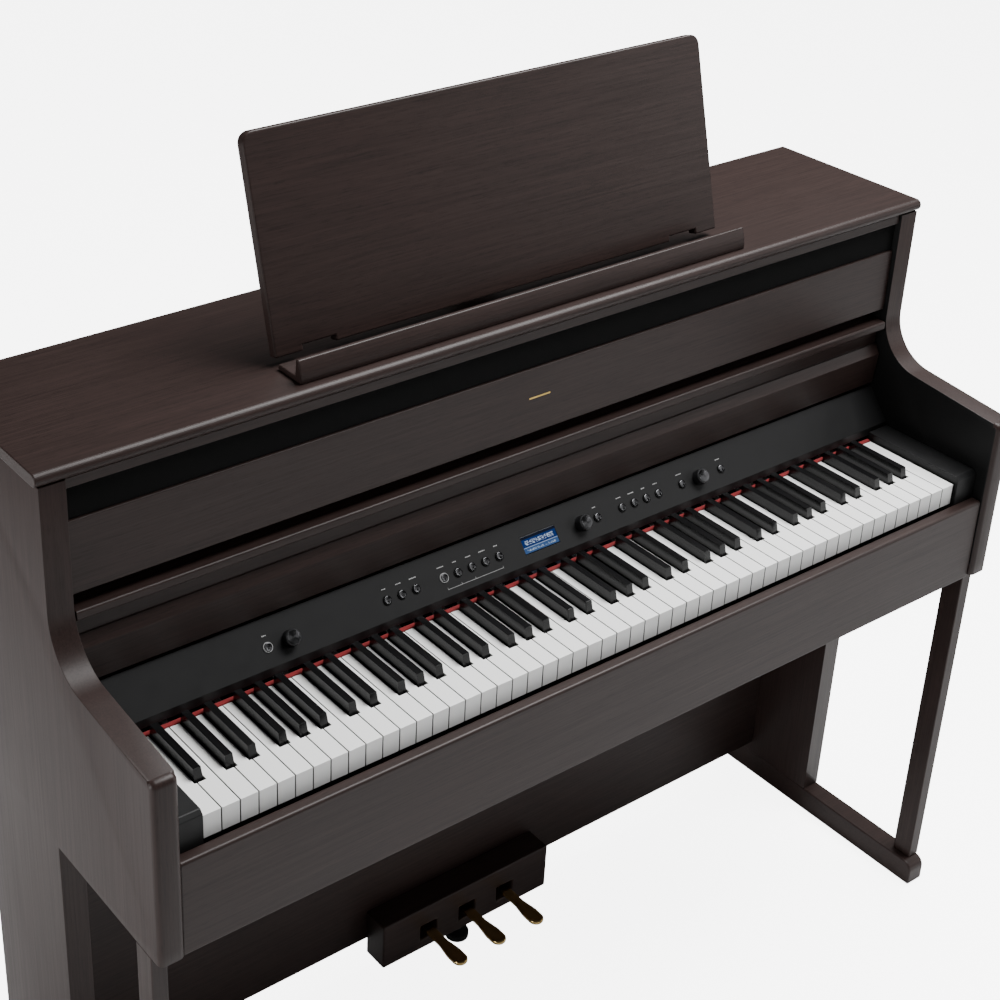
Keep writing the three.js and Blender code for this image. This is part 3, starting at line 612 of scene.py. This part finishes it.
random_dots = display_tree.nodes.new("ShaderNodeTexWhiteNoise")
random_dots.noise_dimensions = "2D"
display_tree.links.new(snap.outputs["Vector"], random_dots.inputs["Vector"])
dot_on = display_tree.nodes.new("ShaderNodeMath")
dot_on.operation = "GREATER_THAN"
dot_on.inputs[1].default_value = 0.45
display_tree.links.new(random_dots.outputs["Value"], dot_on.inputs[0])
split = display_tree.nodes.new("ShaderNodeSeparateXYZ")
display_tree.links.new(display_uv.outputs["UV"], split.inputs[0])
row_ramp = display_tree.nodes.new("ShaderNodeValToRGB")
row_ramp.color_ramp.interpolation = "CONSTANT"
row_ramp.color_ramp.elements[0].color = (0, 0, 0, 1)
row_ramp.color_ramp.elements[1].position = 0.14
row_ramp.color_ramp.elements[1].color = (0.7, 0.7, 0.7, 1)
for position, level in ((0.25, 0.0), (0.48, 1.0), (0.72, 0.0)):
    element = row_ramp.color_ramp.elements.new(position)
    element.color = (level, level, level, 1)
display_tree.links.new(split.outputs["Y"], row_ramp.inputs["Fac"])
side_ramp = display_tree.nodes.new("ShaderNodeValToRGB")
side_ramp.color_ramp.interpolation = "CONSTANT"
side_ramp.color_ramp.elements[0].color = (0, 0, 0, 1)
side_ramp.color_ramp.elements[1].position = 0.08
side_ramp.color_ramp.elements[1].color = (1, 1, 1, 1)
last_column = side_ramp.color_ramp.elements.new(0.9)
last_column.color = (0, 0, 0, 1)
display_tree.links.new(split.outputs["X"], side_ramp.inputs["Fac"])
dot_mask = display_tree.nodes.new("ShaderNodeMath")
dot_mask.operation = "MULTIPLY"
display_tree.links.new(dot_on.outputs["Value"], dot_mask.inputs[0])
display_tree.links.new(row_ramp.outputs["Color"], dot_mask.inputs[1])
dot_mask_sides = display_tree.nodes.new("ShaderNodeMath")
dot_mask_sides.operation = "MULTIPLY"
display_tree.links.new(dot_mask.outputs["Value"], dot_mask_sides.inputs[0])
display_tree.links.new(side_ramp.outputs["Color"], dot_mask_sides.inputs[1])
glow = display_tree.nodes.new("ShaderNodeMix")
glow.data_type = "RGBA"
bands = display_tree.nodes.new("ShaderNodeValToRGB")
bands.color_ramp.interpolation = "CONSTANT"
bands.color_ramp.elements[0].color = (0.003, 0.004, 0.006, 1)
bands.color_ramp.elements[1].position = 0.06
bands.color_ramp.elements[1].color = (0.05, 0.12, 0.30, 1)
for position, color in (
    (0.34, (0.40, 0.52, 0.75, 1)),
    (0.38, (0.003, 0.028, 0.16, 1)),
    (0.82, (0.003, 0.004, 0.006, 1)),
):
    bands.color_ramp.elements.new(position).color = color
display_tree.links.new(split.outputs["Y"], bands.inputs["Fac"])
display_tree.links.new(bands.outputs["Color"], glow.inputs["A"])
glow.inputs["B"].default_value = (0.62, 0.75, 0.95, 1)
display_tree.links.new(dot_mask_sides.outputs["Value"], glow.inputs["Factor"])
display_tree.links.new(glow.outputs["Result"], display_shader.inputs["Emission Color"])
display_shader.inputs["Emission Strength"].default_value = 0.75
fix(window, display, "display_window")

# ---- Front inlay ----
# One plain thin brass line let into the middle of the upper front panel, flush with the film.
inlay_metal, inlay_tree, inlay_shader = plain_material("inlay_brass", (0.55, 0.38, 0.12), 0.35, 0.85)
add_skin(inlay_tree, inlay_shader, (3000, 3000, 3000), 0.1, 0.00004, 0.3, 0.42)
inlay_half_length = 0.017
inlay_half_height = 0.0011
inlay_half_depth = 0.00008
upper_low, upper_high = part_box("upper_front_panel")
inlay_z = upper_low.z + (upper_high.z - upper_low.z) * 0.55
fix(slabs("front_inlay", [(
    Vector((0, upper_low.y - inlay_half_depth, inlay_z)),
    Vector((inlay_half_length, 0, 0)), Vector((0, 0, inlay_half_height)), Vector((0, inlay_half_depth, 0)),
)]), inlay_metal, "upper_front_panel", stands_for=False)

# ---- Pedals ----
# Cast brass levers with rounded toes, polished, hung in the pedal unit.
brass, brass_tree, brass_shader = plain_material("polished_brass", (0.72, 0.52, 0.22), 0.18, 1.0)
add_skin(brass_tree, brass_shader, (900, 200, 900), 0.08, 0.0001, 0.14, 0.26)
for node in ("soft_pedal", "middle_pedal", "damper_pedal"):
    fix(rounded_copy(node, 0.0025, segments=4), brass, node)

# ---- Electronics ----
# A green circuit board with rows of parts, and a dark steel plate at the back with the power inlet
# and round sockets in plastic collars.
board, board_tree, board_shader = plain_material("solder_mask", (0.02, 0.14, 0.06), 0.4)
add_skin(board_tree, board_shader, (600, 600, 600), 0.3, 0.0002, 0.3, 0.45)
fix(rounded_copy("main_board", 0.0003), board, "main_board")
board_low, board_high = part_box("main_board")
chips = []
for column in range(9):
    for row in range(3):
        half = Vector((0.006 + 0.003 * ((column + row) % 3), 0.006 + 0.002 * (row % 2), 0.0015))
        centre = Vector((
            board_low.x + 0.036 * (column + 1),
            board_low.y + 0.03 * (row + 1),
            board_high.z + half.z,
        ))
        chips.append((centre, Vector((half.x, 0, 0)), Vector((0, half.y, 0)), Vector((0, 0, half.z))))
fix(slabs("board_parts", chips), moulding, "main_board", stands_for=False)

plate, plate_tree, plate_shader = plain_material("dark_plate", (0.03, 0.03, 0.032), 0.5, 0.6)
add_skin(plate_tree, plate_shader, (1500, 1500, 1500), 0.3, 0.0001, 0.42, 0.55)
fix(rounded_copy("rear_jack_plate", 0.0006), plate, "rear_jack_plate")
plate_low, plate_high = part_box("rear_jack_plate")
first_socket = 0.080
socket_pitch = 0.028
socket_z = 0.670
for count in range(5):
    socket_x = plate_low.x + first_socket + count * socket_pitch
    socket_profile = (
        (0.0042, -0.0005),
        (0.0062, -0.0005),
        (0.0062, 0.0012),
        (0.0056, 0.0018),
        (0.0042, 0.0018),
        (0.0042, -0.0005),
    )
    socket = turned(f"socket_{count}", socket_profile, (socket_x, plate_high.y, socket_z), (0, 1, 0), 28)
    fix(socket, moulding, "rear_jack_plate", stands_for=False)

# ---- Studio ----
# A plain pale floor, a large soft key light from the right and front, a weak fill from the left,
# a top light over the keys, and a camera where the piano is seen from its bass end, from above.
floor_mesh = bmesh.new()
bmesh.ops.create_grid(floor_mesh, x_segments=1, y_segments=1, size=30)
floor = new_piece("floor", floor_mesh)
floor_material, floor_tree, floor_shader = plain_material("pale_floor", (0.86, 0.86, 0.86), 0.8)
floor_shader.inputs["Emission Color"].default_value = (1, 1, 1, 1)
add_skin(floor_tree, floor_shader, (40, 40, 40), 0.02, 0.001, 0.75, 0.85)
floor_ray = floor_tree.nodes.new("ShaderNodeLightPath")
floor_glow = floor_tree.nodes.new("ShaderNodeMath")
floor_glow.operation = "MULTIPLY"
floor_glow.inputs[1].default_value = 6.0
floor_tree.links.new(floor_ray.outputs["Is Camera Ray"], floor_glow.inputs[0])
floor_tree.links.new(floor_glow.outputs["Value"], floor_shader.inputs["Emission Strength"])
floor.data.materials.append(floor_material)

world = bpy.data.worlds.new("studio")
world.use_nodes = True
backdrop = world.node_tree.nodes["Background"]
backdrop.inputs["Color"].default_value = (1, 1, 1, 1)
ray = world.node_tree.nodes.new("ShaderNodeLightPath")
seen = world.node_tree.nodes.new("ShaderNodeMapRange")
seen.inputs["To Min"].default_value = 0.10
seen.inputs["To Max"].default_value = 4.0
world.node_tree.links.new(ray.outputs["Is Camera Ray"], seen.inputs["Value"])
world.node_tree.links.new(seen.outputs["Result"], backdrop.inputs["Strength"])
bpy.context.scene.world = world

for name, place, aim, size, power in (
    ("key_light", (3.3, -2.3, 1.7), (0.6, 0, 0.9), 2.0, 30),
    ("side_light", (-3.8, 0.1, 1.0), (-0.7, 0, 0.6), 1.6, 105),
    ("top_light", (1.4, -0.2, 3.7), (0.35, -0.1, 0.8), 2.2, 275),
):
    light = bpy.data.lights.new(name, "AREA")
    light.shape = "SQUARE"
    light.size = size
    light.energy = power
    lamp = bpy.data.objects.new(name, light)
    lamp.location = place
    lamp.rotation_euler = (Vector(aim) - Vector(place)).to_track_quat("-Z", "Y").to_euler()
    collection.objects.link(lamp)

camera_data = bpy.data.cameras.new("camera")
camera_data.sensor_width = 36
camera_data.lens = 67.08
camera_data.shift_x = 0.12
camera_data.shift_y = -0.12
camera = bpy.data.objects.new("camera", camera_data)
camera.location = (-1.381, -1.5458, 2.0437)
camera.rotation_euler = [math.radians(angle) for angle in (62.797, -1.062, -36.009)]
collection.objects.link(camera)
bpy.context.scene.camera = camera
